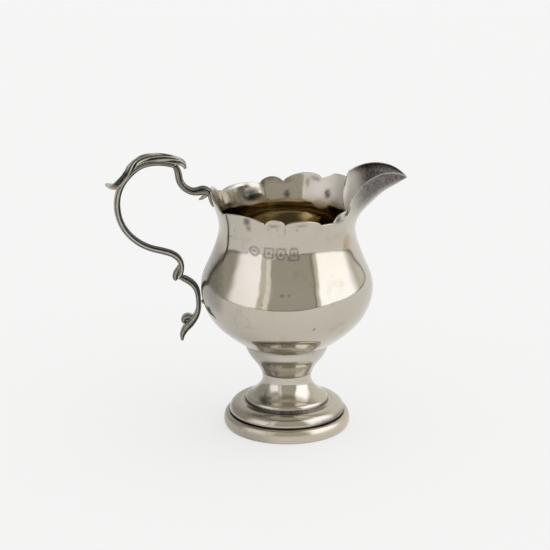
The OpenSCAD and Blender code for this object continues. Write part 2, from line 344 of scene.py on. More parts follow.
def fade(value, start, end):
    """0 before start, 1 after end, and a smooth S between them."""
    t = np.clip((value - start) / (end - start), 0, 1)
    return t * t * (3 - 2 * t)


SAG_MOST, SAG_ANGLE, SAG_SPREAD = 1.75, -108, 50  # mm, and degrees round the axis


def sag(z):
    """How much lower the right side's belly sits than the outline says. Raised by hand, the bowl is not
    quite round: its fullest ring drops by SAG_MOST on the right, and the rim and the seam at the bottom are
    level again."""
    off = np.degrees(angles) - SAG_ANGLE
    by_height = fade(z, 34, 46) * (1 - 0.45 * fade(z, 62, 72)) * (1 - fade(z, 74, 81))
    return SAG_MOST * np.exp(-(off / SAG_SPREAD) ** 2) * by_height


def wall_point(lengths, depth):
    """Point of the bowl's wall at each length along the outline and each angle, moved depth mm into the
    wall."""
    r, z = at(lengths, bowl_along, bowl_curve).transpose(2, 0, 1)
    nr, nz = at(lengths, bowl_along, bowl_left).transpose(2, 0, 1)
    r, z = np.maximum(r + nr * depth, 0), z + nz * depth
    return np.stack([r * np.cos(angles), r * np.sin(angles), z - sag(z)], axis=-1)


OUTER_WAVE, INNER_WAVE, WAVE_FREE = 0.023, 0.03, 6  # mm high outside and inside, and fading out near the rim
outside = wall_point(outer_lengths, 0)
x, y, z = outside.transpose(2, 0, 1)
z = z + sag(z)
near_rim = np.clip((rim_z - z) / WAVE_FREE, 0, 1)
pressed = np.where(y < 0, mark_depth(x, z), 0) + hammered(x, y, z, OUTER_WAVE, 7) * near_rim
outside = wall_point(outer_lengths, pressed)
print(f"marks pressed in up to {pressed.max():.2f} mm")

# %% [markdown]
# The cut edge of the sheet is rubbed round, and it catches the light as a thin bright line all the way
# along the lobes. Five rows over the edge are enough for that. The inner wall then goes back down to the
# middle of the floor.

# %% Rim edge and inner wall
EDGE_BULGE = 0.3  # how far the rounded edge stands out, as a share of the sheet
edge_turn = np.radians([25, 60, 90, 120, 155])
rim_here = at(rim_length, bowl_along, bowl_curve)
rim_left = at(rim_length, bowl_along, bowl_left)
rim_up = np.stack([rim_left[:, 1], -rim_left[:, 0]], axis=1)
middle = rim_here + rim_left * SHEET / 2
edge_rows = (middle[None] - rim_left[None] * (np.cos(edge_turn) * SHEET / 2)[:, None, None]
             + rim_up[None] * (np.sin(edge_turn) * SHEET * EDGE_BULGE)[:, None, None])
edge_r, edge_z = edge_rows.transpose(2, 0, 1)
edge = np.stack([edge_r * np.cos(angles), edge_r * np.sin(angles), edge_z], axis=-1)
inner_fixed = spaced([0, bottom_end, fixed_top], [2.4, 1.3])
inner_lengths = np.vstack([np.repeat(inner_fixed[:, None], len(angles), 1),
                           fixed_top + (rim_length - fixed_top) * stretch[::2, None]])[::-1]
inside = wall_point(inner_lengths, SHEET)
x, y, z = inside.transpose(2, 0, 1)
inside_wave = hammered(x, y, z, INNER_WAVE, 21)
inside = wall_point(inner_lengths, SHEET + inside_wave)
print(f"rim between {rim_z.min():.1f} and {rim_z.max():.1f} mm high")

# %% [markdown]
# Soil is what polishing doesn't reach: cream and sulphur darken the inside of the bowl, the marks, and the
# seam under the bowl. The same number also carries painted shade on the side towards the handle, on the
# right of the foot and on the handle's inner face, and painted dark reflections on the lip. It is a number
# at each point of the mesh that the finish reads later.

# %% Spots
# Each spot: X, height, half width, half height, soil, brown. The first list is outside on the right, the
# second inside on the left wall under the rim.
OUTSIDE_SPOTS = [
    (20.9, 72.9, 1.3, 3.0, 0.2, 1.0), (20.4, 72.2, 0.5, 1.0, 0.42, 1.0), (-14.2, 83.6, 1.15, 1.9, 0.75, 0.0),
    (-13.5, 81.0, 0.9, 1.1, 0.55, 0.0), (-4.7, 82.9, 1.9, 0.7, 0.45, 0.3), (-6.6, 81.6, 0.5, 0.4, 0.3, 0.6),
    (5.1, 83.0, 2.2, 0.6, 0.34, 0.1), (3.4, 81.4, 0.45, 0.5, 0.4, 0.2), (17.8, 83.4, 1.1, 1.6, 0.85, 0.1),
    (18.6, 82.4, 1.3, 0.6, 0.55, 0.2), (20.4, 84.4, 0.6, 0.6, 0.2, 1.0), (-0.8, 80.9, 0.16, 1.6, 0.6, 0.2),
    (-18.6, 78.9, 0.25, 0.25, 0.8, 0.0), (-19.8, 76.2, 0.3, 0.3, 0.5, 0.0), (9.4, 46.8, 0.4, 0.35, 0.9, 0.2),
    (0.6, 60.3, 0.5, 0.35, 0.7, 0.2), (-1.9, 60.0, 0.9, 0.3, 0.5, 0.2), (-9.0, 57.0, 0.7, 0.6, 0.35, 0.1),
    (21.9, 82.9, 0.35, 0.4, 0.5, 0.3), (-12.4, 47.6, 1.6, 0.7, 0.1, 0.35), (-3.5, 81.4, 0.3, 0.25, 0.35, 0.6)]
INSIDE_SPOTS = [
    (-14.8, 83.5, 1.1, 1.0, 0.95, 0.1), (-13.2, 81.5, 3.1, 0.9, 0.9, 0.1), (-15.8, 81.9, 1.0, 1.0, 0.7, 0.1),
    (0.0, 79.7, 1.25, 1.05, 1.0, 0.0), (7.6, 83.9, 0.75, 0.75, 1.0, 0.0), (14.8, 81.0, 1.05, 1.4, 0.95, 0.0),
    (17.5, 78.4, 2.2, 0.9, 0.45, 0.55), (-7.0, 85.7, 3.4, 1.3, 0.55, 0.9), (-8.9, 84.2, 0.9, 1.9, 0.85, 0.3),
    (-1.0, 84.8, 3.0, 1.1, 0.45, 0.8), (-20.5, 79.0, 1.3, 1.2, 0.35, 0.5), (19.5, 76.6, 2.0, 1.2, 0.3, 0.5),
    (-10.2, 80.2, 0.8, 1.9, 0.0, 0.9), (10.6, 85.6, 2.2, 0.7, 0.35, 0.4), (-20.6, 85.0, 2.0, 1.5, 0.45, 0.1)]


def spots(x, z, rows):
    """Soil and brown left by a list of spots: each is exp(-d^3), where d is the distance from its middle
    counted in its half sizes, and the strongest one wins."""
    soil_and_shade, brown = np.zeros(x.shape), np.zeros(x.shape)
    for place_x, place_z, half_w, half_h, dark, yellow in rows:
        hill = np.exp(-(((x - place_x) / half_w) ** 2 + ((z - place_z) / half_h) ** 2) ** 1.5)
        soil_and_shade, brown = np.maximum(soil_and_shade, dark * hill), np.maximum(brown, yellow * hill)
    return soil_and_shade, brown


def handle_side_painted_shade(x, z):
    """Painted shade on the side towards the handle: strong beside the handle, wide low on the belly, and at
    least a little everywhere there."""
    beside = 0.52 * fade(-x, 20, 25.5) * fade(z, 45, 53) * fade(-z, -80, -70)
    low = 0.42 * fade(-x, 2, 17) * fade(-z, -50, -36)
    return np.maximum(beside + low, 0.16 * fade(-x, 8, 24))


# %% Soil outside the bowl
MARK_SOIL = 6.0  # soil for each mm that a mark is deep
RING_X, RING_Z, RING_RADIUS, RING_WIDTH, RING_SOIL = -15.9, 49.4, 2.6, 0.35, 0.14  # left by a wet drop
x, y, z = outside.transpose(2, 0, 1)
z = z + sag(z)
right = y < 0
depth = np.where(right, mark_depth(x, z), 0)
soil_and_shade_outside, brown_outside = (np.where(right, v, 0) for v in spots(x, z, OUTSIDE_SPOTS))
from_ring = np.hypot(x - RING_X, (z - RING_Z) * 1.15) - RING_RADIUS
ring = np.exp(-(from_ring / RING_WIDTH) ** 2) * right
# Painted shade on the side towards the handle is added to the marks' soil and the drop's ring.
soil_and_shade_outside = np.maximum(soil_and_shade_outside, MARK_SOIL * depth) + RING_SOIL * ring + handle_side_painted_shade(x, z)
print(f"soil outside up to {soil_and_shade_outside.max():.2f}")

# %% [markdown]
# Inside, the cream's film starts at a line that dips a little towards the ends, where the jug was filled
# to. Across it lies a dried patch of cream near the lip, and the wall beside it is worn matt by the brush
# that cleans the lip.

# %% Film inside the bowl
CREAM_X, CREAM_Z, CREAM_HALF_W, CREAM_HALF_H = 12.1, 77.0, 2.8, 1.9
x, y, z = inside.transpose(2, 0, 1)
left = y > 0
soil_inside, brown_inside = (np.where(left, v, 0) for v in spots(x, z, INSIDE_SPOTS))
dips = 0.05 * np.abs(x)
deep = fade(-z, -79.0 + dips, -77.7 + dips)
cream = np.exp(-(((x - CREAM_X) / CREAM_HALF_W) ** 2 + ((z - CREAM_Z) / CREAM_HALF_H) ** 2) ** 3) * left
soil_inside = np.maximum(soil_inside, 0.04 * deep) * (1 - cream)
brown_inside = np.maximum(brown_inside, 0.82 * deep) * (1 - cream) + 0.85 * cream
matte_inside = np.maximum(0.95 * cream, 0.8 * fade(x, 5, 9) * left * (1 - deep))
print(f"cream's film on {deep.mean():.0%} of the inside")

# %% Bowl piece
def wall_values(over_outside, over_inside):
    """One number for each point of the bowl: those outside, zero on the rim's edge, and those inside."""
    return np.concatenate([over_outside[1:], np.zeros(edge.shape[:2]), over_inside[:-1]])


bowl_rows = np.concatenate([outside[1:], edge, inside[:-1]])
add_piece("bowl_wall", bowl_rows, "raised_silver", "bowl", wall_values(soil_and_shade_outside, soil_inside),
          brown=wall_values(brown_outside, brown_inside), matte=wall_values(0 * depth, matte_inside))

# %% [markdown]
# ## The pouring lip
# The lip is a second piece of sheet, hammered over a stake into a narrow gutter and soldered into the
# notch. Across, each section is a U: it leaves one edge, dips to the keel and comes back. Along, the U
# slides from the neck, where it laps over the wall, out and up to the pointed beak.

# %% Lip surface
# The edge gives x, half the width and height, and the keel gives x and height.
LIP_EDGE = [(21.4, 16.8, 87), (22.6, 17.4, 89.6), (24, 16.1, 91.7), (26.4, 13.7, 93.7), (29.6, 10.5, 95.6),
            (33.2, 7.7, 96.5), (36.8, 5.4, 96.3), (39.8, 3.1, 95.3), (41.7, 1.4, 93.9), (42.5, 0.5, 93.3)]
LIP_KEEL = [(24.4, 72.6), (25, 77), (26.6, 80.4), (29.2, 83), (31.8, 86), (34.6, 88.5), (37.6, 90.1),
            (40.2, 91.6), (41.8, 92.7), (42.5, 93.1)]
LIP_ROWS = 120


def along_points(points, spread, count):
    """A curve through the points with as many steps in each span, so that two curves keep pace, then
    averaged."""
    smooth = averaged(curve_through(points), spread)
    steps = np.arange(len(smooth))
    return at(np.linspace(0, steps[-1], count), steps, smooth)


lip_edge = along_points(LIP_EDGE, 9, LIP_ROWS)
lip_keel = along_points(LIP_KEEL, 12, LIP_ROWS)
s = np.linspace(0, 1, LIP_ROWS)[:, None]
across = np.radians(np.linspace(-90, 90, 91))
NARROWEST = 0.12  # mm, so that the beak never closes up


def lip_surface(turn, inset):
    """Point of the lip at each share s of its length and each angle t across: y = w sin t, and the height
    climbs from the keel to the edge as (1 - cos t)^(0.85 + 0.15 s). Near the neck x is pulled onto the
    wall."""
    edge_x, edge_half, edge_height = lip_edge.T[:, :, None]
    keel_x, keel_height = lip_keel.T[:, :, None]
    rise = np.maximum(1 - np.cos(turn), 0) ** (0.85 + 0.15 * s)
    half = np.maximum(edge_half - inset, NARROWEST)
    depth = np.maximum(edge_height - keel_height - inset, NARROWEST)
    y = half * np.sin(turn)
    z = edge_height - depth * (1 - rise)
    x = keel_x + (edge_x - keel_x) * rise
    on_neck = np.sqrt(np.maximum((bowl_radius(z) - inset) ** 2 - y ** 2, 0))
    hug = np.maximum(1 - 2.0 * s, 0) ** 1.6
    return np.stack([x + (on_neck - x) * hug, y, z], axis=-1)


def outward_normals(grid):
    """Unit normals of a grid of points, from the cross product of its two directions."""
    n = np.cross(np.gradient(grid, axis=1), np.gradient(grid, axis=0))
    return n / np.maximum(np.linalg.norm(n, axis=-1, keepdims=True), 1e-9)


# The inner wall is one sheet inside the outer one. Where the gutter is wide that is measured square to it,
# and near the beak, where it would cross itself, as a narrower U. On the left the edge starts a little
# higher at the neck.
LEFT_RISE, RISE_SPREAD = 1.4, 0.14
lip_out, lip_tight = lip_surface(across, 0), lip_surface(across, SHEET)
lip_left_rise = LEFT_RISE * np.maximum(np.sin(across), 0) ** 6 * np.exp(-(s / RISE_SPREAD) ** 2)
for surface in (lip_out, lip_tight):
    surface[..., 2] += lip_left_rise
normal = outward_normals(lip_out)
normal *= np.sign((normal * (lip_out - lip_tight)).sum(-1, keepdims=True).mean())
tight = fade(s, 0.08, 0.3)[..., None]
lip_in = (1 - tight) * (lip_out - SHEET * normal) + tight * lip_tight
print(f"lip {lip_edge[-1, 0] - lip_edge[0, 0]:.1f} mm long over its edge")

# %% Rounded edges of the lip
EDGE_ROWS = 3


def rounded_edge(a, b, up, share=0.28):
    """Rows that round the edge between a row of outer points a and of inner points b, bulging along up."""
    turn = np.radians(np.linspace(30, 150, EDGE_ROWS))[:, None, None]
    gap = b - a
    width = np.linalg.norm(gap, axis=-1, keepdims=True)
    return (a + b) / 2 - gap / 2 * np.cos(turn) + up * width * share * np.sin(turn)


def outward(edge_row, beside_row):
    """Unit vectors from the row beside the edge to the edge: the direction in which the sheet ends."""
    d = edge_row - beside_row
    return d / np.maximum(np.linalg.norm(d, axis=-1, keepdims=True), 1e-6)


far = rounded_edge(lip_out[:, -1], lip_in[:, -1], outward(lip_out[:, -1], lip_out[:, -2])).transpose(1, 0, 2)
near = rounded_edge(lip_in[:, 0], lip_out[:, 0], outward(lip_out[:, 0], lip_out[:, 1])).transpose(1, 0, 2)
lip_loop = np.concatenate([lip_out, far, lip_in[:, ::-1], near], axis=1)
print(f"lip section of {lip_loop.shape[1]} points")

# %% [markdown]
# The lip's flanks and the inside of the beak are the darkest parts of the jug: a painted dark reflection,
# laid on as soil. Its root is bright and worn matt by the brush, and a knot of old solder is left at the
# near end of the seam.

# %% Film on the lip
FLANK_PAINTED_REFLECTION, BEAK_PAINTED_REFLECTION, KNOT_SOIL, EDGE_SOIL = 0.86, 0.92, 0.8, 0.1
from_keel = np.abs(np.degrees(across))[None]
# Painted dark reflection: the flanks and the inside of the beak are darkened as if they mirrored a dark room.
flank_painted_reflection = FLANK_PAINTED_REFLECTION * fade(s, 0.06, 0.4) * fade(from_keel, 14, 60)
knot = KNOT_SOIL * np.exp(-(s / 0.05) ** 2 - ((np.degrees(across)[None] + 84) / 7) ** 2)
beak_painted_reflection = 0.04 + BEAK_PAINTED_REFLECTION * fade(s, 0.2, 0.42) * (1 - 0.42 * fade(s, 0.7, 0.95)) + 0 * from_keel
worn_root = 0.85 * fade(-s, -0.42, -0.2) + 0 * from_keel


def lip_values(over_outside, over_far_edge, over_inside):
    """One number for each point of the lip's section: outside, far edge, inside and near edge, where it is
    0."""
    far_edge, near_edge = np.full((LIP_ROWS, EDGE_ROWS), over_far_edge), np.zeros((LIP_ROWS, EDGE_ROWS))
    return np.concatenate([over_outside, far_edge, over_inside[:, ::-1], near_edge], axis=1)


lip_soil_and_reflection = lip_values(flank_painted_reflection + knot, EDGE_SOIL, beak_painted_reflection)
lip_matte = lip_values(0.25 + 0 * flank_painted_reflection, 0.0, worn_root)
print(f"lip's soil up to {lip_soil_and_reflection.max():.2f}")

# %% [markdown]
# A soldered seam is filed down until it hardly shows. So the root laps over the bowl's wall for five more
# rows, which stand off it by hardly more than the sheet itself and end inside it, as a thin slot that is
# closed flat.

# %% Root of the lip
LAP = np.array([0.35, 0.75, 1.15, 1.6, 1.9])[:, None]  # mm back from the lip's first row
LAP_STANDS_OFF = np.array([1.09, 1.06, 1.04, 1.02, 0])[:, None]  # as a share of half the sheet
back = lip_loop[0] - lip_loop[2]
back /= np.linalg.norm(back, axis=1)[:, None]
first_y, first_z = lip_loop[0, :, 1], lip_loop[0, :, 2]
lap_y, lap_z = first_y + LAP * back[:, 1], first_z + LAP * back[:, 2]
off_wall = np.hypot(*lip_loop[0, :, :2].T) - bowl_radius(first_z) + SHEET / 2
lap_r = bowl_radius(lap_z) - SHEET / 2 + off_wall * LAP_STANDS_OFF
root = np.stack([np.sqrt(np.maximum(lap_r ** 2 - lap_y ** 2, 0)), lap_y, lap_z], axis=-1)[::-1]
lip_soil_and_reflection, lip_matte = (np.vstack([np.repeat(v[:1], len(LAP), 0), v]) for v in (lip_soil_and_reflection, lip_matte))
add_piece("lip_gutter", np.concatenate([root, lip_loop]), "raised_silver", "pouring_lip", lip_soil_and_reflection,
          fans=(False, True), matte=lip_matte, facing=2 * len(across) + EDGE_ROWS - 1)

# %% [markdown]
# ## Stem and foot
# Below the bowl come three turned or raised parts, each soldered to the next: a trumpet-shaped flare, a
# stem that widens into two steps, and a drawn wire bent into a ring. All are round, so each is a profile
# turned once about the axis. The profile goes along the outside and back along the inside, and its ends
# meet, so that each part is a closed tube.

# %% Stem and foot profiles
ROUND = np.radians(np.arange(0, 360, 1.25))
PROFILE_POINTS = 400


def turned_piece(name, outer, inner, spread, node, soil_and_shade, matte, brown=0.0, per_mm=8):
    """A ring-shaped piece: the outer profile evened by spread, then the inner one back, turned about the
    axis."""
    fine = evened(outer, spread, PROFILE_POINTS)
    rows = int(lengths_along(fine)[-1] * per_mm)
    skin = at(np.linspace(0, PROFILE_POINTS - 1, rows), np.arange(PROFILE_POINTS), fine)
    grid = turned(np.vstack([skin, np.asarray(inner, float)]), ROUND)
    downward = outer[0][1] > outer[-1][1]
    return add_piece(name, grid, "raised_silver", node, soil_and_shade(grid), downward, None, brown, matte)


def left_side_painted_shade(grid):
    """Painted shade on the side towards the handle: it grows with -x."""
    return 0.36 * fade(-grid[..., 0], 1, 12)


def right_painted_shade(grid):
    """Painted shade: a dark band on the right of the lower step, where the roll turns under."""
    return 0.62 * fade(grid[..., 0], 5, 14) * fade(-grid[..., 2], -7.6, -6.4)


def groove(grid, radius, height, width, depth):
    """Soil that is deepest at a ring of the given radius and height and fades out over width."""
    r = np.hypot(grid[..., 0], grid[..., 1])
    return depth * np.exp(-((r - radius) ** 2 + (grid[..., 2] - height) ** 2) / width ** 2)


TRUMPET = [(9.2, 20.2), (9.7, 21.5), (11, 23.7), (12.7, 25.8), (13.9, 27.6), (14.7, 29.2), (15.2, 30.95),
           (15.4, 31.5)]
TRUMPET_INSIDE = [(14.9, 31.3), (14.6, 30.7), (14.1, 29.4), (13.4, 28), (12.1, 26.1), (10.4, 24),
                  (9.1, 21.7), (8.6, 20.2)]


def trumpet_soil_and_shade(grid):
    """Soil in the seams at both ends of the trumpet, and painted shade on the side towards the handle."""
    return groove(grid, 15.2, 31, 0.3, 0.15) + groove(grid, 9.2, 20.2, 0.5, 0.6) + left_side_painted_shade(grid)


turned_piece("stem_trumpet", TRUMPET, TRUMPET_INSIDE, 0.7, "stem_flare", trumpet_soil_and_shade, 0.15)

# %% [markdown]
# The stem and the steps of the foot were raised from one sheet over a turned former. Dirt stays in the
# corner under each step, while the roll of each step is rubbed bright.

# %% Foot
STEM = [(8.95, 20.18), (8.8, 18.6), (8.8, 17.6), (9.4, 15.7), (11, 13.6), (12.8, 12), (14.1, 11.3),
        (14.75, 10.7), (14.9, 10.1), (14.75, 9.5), (15, 9.1), (15.8, 8.95), (17.2, 9), (18.5, 8.8),
        (19.6, 8.25), (20.5, 7.2), (20.95, 6), (20.7, 5.2), (20.5, 5.02)]
UNDER = [(20.2, 5.02), (20.3, 5.9), (19.9, 6.8), (19.2, 7.7), (18.2, 8.2), (16.6, 8.4), (14.1, 8.4),
         (13.9, 9.9), (13.6, 10.6), (12.4, 11.5), (10.6, 13.1), (8.9, 15.4), (8.2, 17.5), (8.35, 20.18)]
FOOT_SPOTS = [(-8.4, 12.1, 1.5, 0.9, 0.62, 0.2), (-6.6, 12.9, 1.3, 0.55, 0.42, 0.1),
              (-6.0, 11.6, 0.8, 0.4, 0.3, 0.4)]
WIRE = [(20.4, 5), (20.9, 5.0), (21.9, 4.85), (22.5, 4.1), (22.88, 2.5), (22.75, 0.9), (22.2, 0)]
WIRE_INSIDE = [(21.2, 0), (20.9, 0.8), (20.3, 3), (20.2, 4.9)]


def foot_spots(grid):
    """Tarnish left low on the front of the cone, towards the handle."""
    return spots(grid[..., 0], grid[..., 2], FOOT_SPOTS)[0] * (grid[..., 1] < 0)


def step_soil_and_shade(grid):
    """Soil in the corner under each of the two steps, painted shade on the side towards the handle and on the
    right, and the spots.
    """
    corners = groove(grid, 14.75, 9.3, 0.55, 1.0) + groove(grid, 20.65, 5.1, 0.5, 0.9)
    return corners + left_side_painted_shade(grid) + right_painted_shade(grid) + foot_spots(grid)


def wire_soil_and_shade(grid):
    """Soil in the seam over the wire, a little where it stands on the table, and painted shade on the side
    towards the handle.
    """
    return groove(grid, 20.6, 5, 0.45, 0.8) + 0.25 * fade(-grid[..., 2], -0.6, 0) + left_side_painted_shade(grid)


turned_piece("foot_steps", STEM, UNDER, 0.22, "foot_dome", step_soil_and_shade, 0.12)
turned_piece("foot_ring", WIRE, WIRE_INSIDE, 0.25, "foot_wire", wire_soil_and_shade, 0.32, 0.3)

# %% [markdown]
# ## The handle
# The handle is six small castings, filed up and soldered together. A casting is a section carried along a
# path in the jug's middle plane. The section is a rounded bar in polar form, and its radius may change with
# the angle, so a groove or a flute is just a dip in that radius that runs along the path.

# %% Strap surface
def strap(path, section, per_mm=4.0, columns=64, spread=0.8):
    """Rows along the path, columns round the bar. The path gives x, z, half thickness and half width. Angle
    0 of the section lies on the left of the path's direction and 90 degrees on its +Y side. section(a, s)
    is the pair of factors for thickness and width at angle a and share s of the length."""
    curve = evened(path, spread, 900)
    along = lengths_along(curve)
    rows = max(24, int(along[-1] * per_mm))
    places = np.linspace(0, along[-1], rows)
    x, z, thick, wide = at(places, along, curve).T
    n = at(places, along, left_of(curve))
    n /= np.hypot(n[:, 0], n[:, 1])[:, None]
    a = np.linspace(0, 2 * math.pi, columns, endpoint=False)[None]
    s = (places / along[-1])[:, None]
    t_factor, w_factor = section(a, s)
    across, side = thick[:, None] * t_factor, wide[:, None] * w_factor
    bar_x, bar_z = x[:, None] + across * n[:, :1], z[:, None] + across * n[:, 1:]
    return np.stack([bar_x, side + 0 * s, bar_z], axis=-1), a, s


def folded(a):
    """How far an angle is from 0, in radians, whichever way round."""
    return np.abs((a + math.pi) % (2 * math.pi) - math.pi)


def eased(value, power):
    """A power that keeps the sign, which squares a circle's corners up a little."""
    return np.sign(value) * np.abs(value) ** power


def bar(a, s, power=0.8):
    """The plain rounded bar."""
    return eased(np.cos(a), power) + 0 * s, eased(np.sin(a), power) + 0 * s


def dip(a, centre, width):
    """A smooth dip round one angle, in degrees, that is 1 in its middle."""
    d = (a - math.radians(centre) + math.pi) % (2 * math.pi) - math.pi
    return np.exp(-(d / math.radians(width)) ** 2)


# %% [markdown]
# The long strap is nearly square in section, with a fine groove down each side that makes it look like two
# stems laid together, and a hollow down its inner face. A polishing cloth reaches neither, so both are
# dark with tarnish, and the whole inner face, which looks towards the belly, is darkened further with
# painted shade.

# %% Main scroll
MAIN_PATH = [(-40, 97.4, 0.7, 1.4), (-41.6, 97.9, 0.75, 1.5), (-45, 98.4, 0.8, 1.6),
             (-48.8, 98.2, 0.85, 1.6), (-52.6, 96.8, 0.9, 1.6), (-56.3, 93.6, 1, 1.6),
             (-59.1, 89.7, 1.2, 1.6), (-60.4, 85.4, 1.3, 1.6), (-60.5, 81, 1.25, 1.6),
             (-59.4, 76.4, 1.15, 1.5), (-56.9, 72.2, 1.1, 1.5), (-53.2, 68.9, 1.1, 1.5),
             (-49, 66.8, 1.1, 1.45), (-44.6, 65.7, 1.15, 1.45), (-41.1, 64.6, 1.15, 1.4),
             (-38.8, 62.8, 1.1, 1.4), (-37.8, 60.3, 1, 1.4), (-37.9, 58, 1, 1.3), (-38.4, 56.4, 0.8, 1.2)]


GROOVE_ANGLE = 104


def grooved_bar(a, s):
    """A rounded bar with a groove on each side and a shallow one down the inner face."""
    t, w = bar(a, s, 0.6)
    return t * (1 - 0.25 * dip(a, 0, 30)), w * (1 - 0.16 * dip(folded(a), GROOVE_ANGLE, 13))


grid, a, s = strap(MAIN_PATH, grooved_bar, per_mm=5, columns=144)
# Painted shade over the whole inner face, on top of the tarnish in its hollow.
inner_face_painted_shade = fade(-folded(a), -math.radians(88), -math.radians(73))
soil_and_shade = 0.85 * dip(folded(a), GROOVE_ANGLE, 10) + 0.92 * inner_face_painted_shade + 0.14 + 0 * s
add_piece("handle_main_scroll", grid, "cast_silver", "main_scroll", soil_and_shade, turn=True)

# %% [markdown]
# The leaf lies over the top of the strap and curls out at the back into a small cupped tip. Its flutes run
# slantwise from the middle to the edges, so the dips in its section move round the bar as they go along.

# %% Leaf
LEAF_PATH = [(-36.1, 96.5, 0.5, 0.9), (-36.9, 98.3, 1, 1.9), (-39.2, 99.4, 1.25, 2.4),
             (-42.6, 100.2, 1.25, 2.6), (-46.4, 100.6, 1.25, 2.7), (-50.1, 100.3, 1.2, 2.75),
             (-53.4, 99, 1.15, 2.75), (-55.7, 97.1, 1.1, 2.75), (-57.8, 94.9, 1.1, 2.7),
             (-59.9, 92.6, 1.2, 2.7), (-61.7, 90.8, 1.2, 2.6), (-63.4, 90.2, 0.85, 2),
             (-64.7, 90.6, 0.3, 0.8)]
FLUTES = 6.5


def flutes(a, s):
    """0 to 1: how deep a flute is at an angle and a share of the length. The flutes slant, so their phase
    moves with the length, away from the top line on both sides, and they fade out towards the cupped
    tip."""
    from_top = math.pi - folded(a)
    wave = 0.5 + 0.5 * np.cos(FLUTES * from_top - 27 * s)
    return wave ** 1.5 * fade(-from_top, -2.3, -1.9) * fade(-s, -0.84, -0.7) * fade(s, 0.0, 0.06)


def leaf_section(a, s):
    """A rounded bar with slanting flutes, whose outer face is hollow towards the curled tip."""
    t, w = bar(a, s, 0.62)
    cup = fade(s, 0.68, 0.8) * dip(a, 180, 50)
    droop = fade(s, 0.5, 0.72) * fade(-s, -0.99, -0.9) * w ** 2
    return t * (1 - 0.42 * flutes(a, s)) + 0.95 * cup + 1.2 * droop, w * (1 - 0.24 * flutes(a, s))


grid, a, s = strap(LEAF_PATH, leaf_section, per_mm=6, columns=120, spread=0.6)
from_top = math.pi - folded(a)
hollow = fade(s, 0.62, 0.74) * fade(-s, -0.95, -0.87) * fade(-from_top, -1.75, -1.4)
soil_and_shade = np.maximum(flutes(a, s), 0.95 * hollow) + 0.04
add_piece("handle_leaf", grid, "cast_silver", "leaf_cap", soil_and_shade, turn=True)
print(f"leaf with {FLUTES} flutes a side")

# %% [markdown]
# The small castings are the S-shaped piece that reaches the rim, the spur, the C-shaped piece by the belly
# and its curled tail. They share one section: a bar with two grooves along each side.

# %% Small castings
SMALL_CASTINGS = {
    "upper_scroll": [(-39.8, 97.3, 0.9, 1.4), (-39, 95.8, 1.15, 1.6), (-38.6, 93.9, 1.3, 1.7),
                     (-38.2, 91.9, 1.25, 1.8), (-37, 89.9, 1.15, 1.9), (-35.2, 88.5, 1.1, 2),
                     (-33.2, 87.9, 1.15, 2.1), (-31.4, 88.1, 1.4, 2.1), (-29.9, 88.4, 1.5, 2.1),
                     (-28.4, 87.9, 1.4, 1.9), (-27.2, 87, 1.2, 1.6)],
    "scroll_spur": [(-38.4, 61.1, 0.4, 0.9), (-38.9, 59.2, 0.9, 1.2), (-39.8, 57.4, 1.2, 1.4),
                    (-40.2, 55.8, 1.1, 1.3), (-39.6, 54.9, 0.7, 0.9)],
    "lower_scroll": [(-38.7, 56, 0.8, 1.2), (-36.6, 55.2, 1.1, 1.5), (-34.2, 53.6, 1.1, 1.6),
                     (-32.7, 51.6, 1.05, 1.6), (-32.1, 49.3, 0.95, 1.5), (-31.9, 46.9, 0.9, 1.5),
                     (-31.9, 44.4, 0.95, 1.5), (-32.5, 42, 1.1, 1.6), (-33.7, 39.9, 1.3, 1.7),
                     (-35.3, 38, 1.45, 1.8), (-36.8, 36.2, 1.3, 1.6), (-37.8, 34, 1, 1.3),
                     (-37.9, 31.8, 0.45, 0.7)],
    "tail_leaf": [(-34.4, 40.6, 0.9, 1.4), (-35.7, 41.0, 1.15, 1.6), (-37.0, 40.4, 1.15, 1.6),
                  (-37.4, 39.3, 0.95, 1.3), (-36.9, 38.5, 0.5, 0.9)],
}


def double_groove(a, s):
    """A rounded bar with a deep and a shallow groove along each side."""
    t, w = bar(a, s, 0.55)
    side = folded(a)
    cut = 1 - 0.2 * dip(side, 70, 14) - 0.14 * dip(side, 118, 10)
    return t * cut, w * cut


for node, path in SMALL_CASTINGS.items():
    grid, a, s = strap(path, double_groove, per_mm=5, columns=72, spread=0.5)
    side = folded(a)
    # Tarnish in the grooves on both sides, painted shade along the side at angle 0, and an even share all
    # over.
    soil_and_shade = 0.75 * dip(side, 68, 17) + 0.6 * dip(side, 118, 9) + 0.6 * dip(side, 0, 30) + 0.45 + 0 * s
    add_piece("handle_" + node, grid, "cast_silver", node, soil_and_shade, turn=True)

# The spur is a small curl under the end of the upper scroll, cast with it.
RIM_SPUR = [(-28.6, 87.4, 0.9, 1.3), (-29.4, 86.2, 0.7, 1.1), (-30.6, 85.3, 0.5, 0.8),
            (-31.4, 84.9, 0.2, 0.4)]
grid, a, s = strap(RIM_SPUR, bar, per_mm=6, columns=40, spread=0.4)
add_piece("handle_rim_spur", grid, "cast_silver", "upper_scroll", 0.45, turn=True)

# %% [markdown]
# The rim plate is a thin patch that spreads the handle's pull over the rim, and the pad is the drop of
# solder between the lower scroll and the belly.

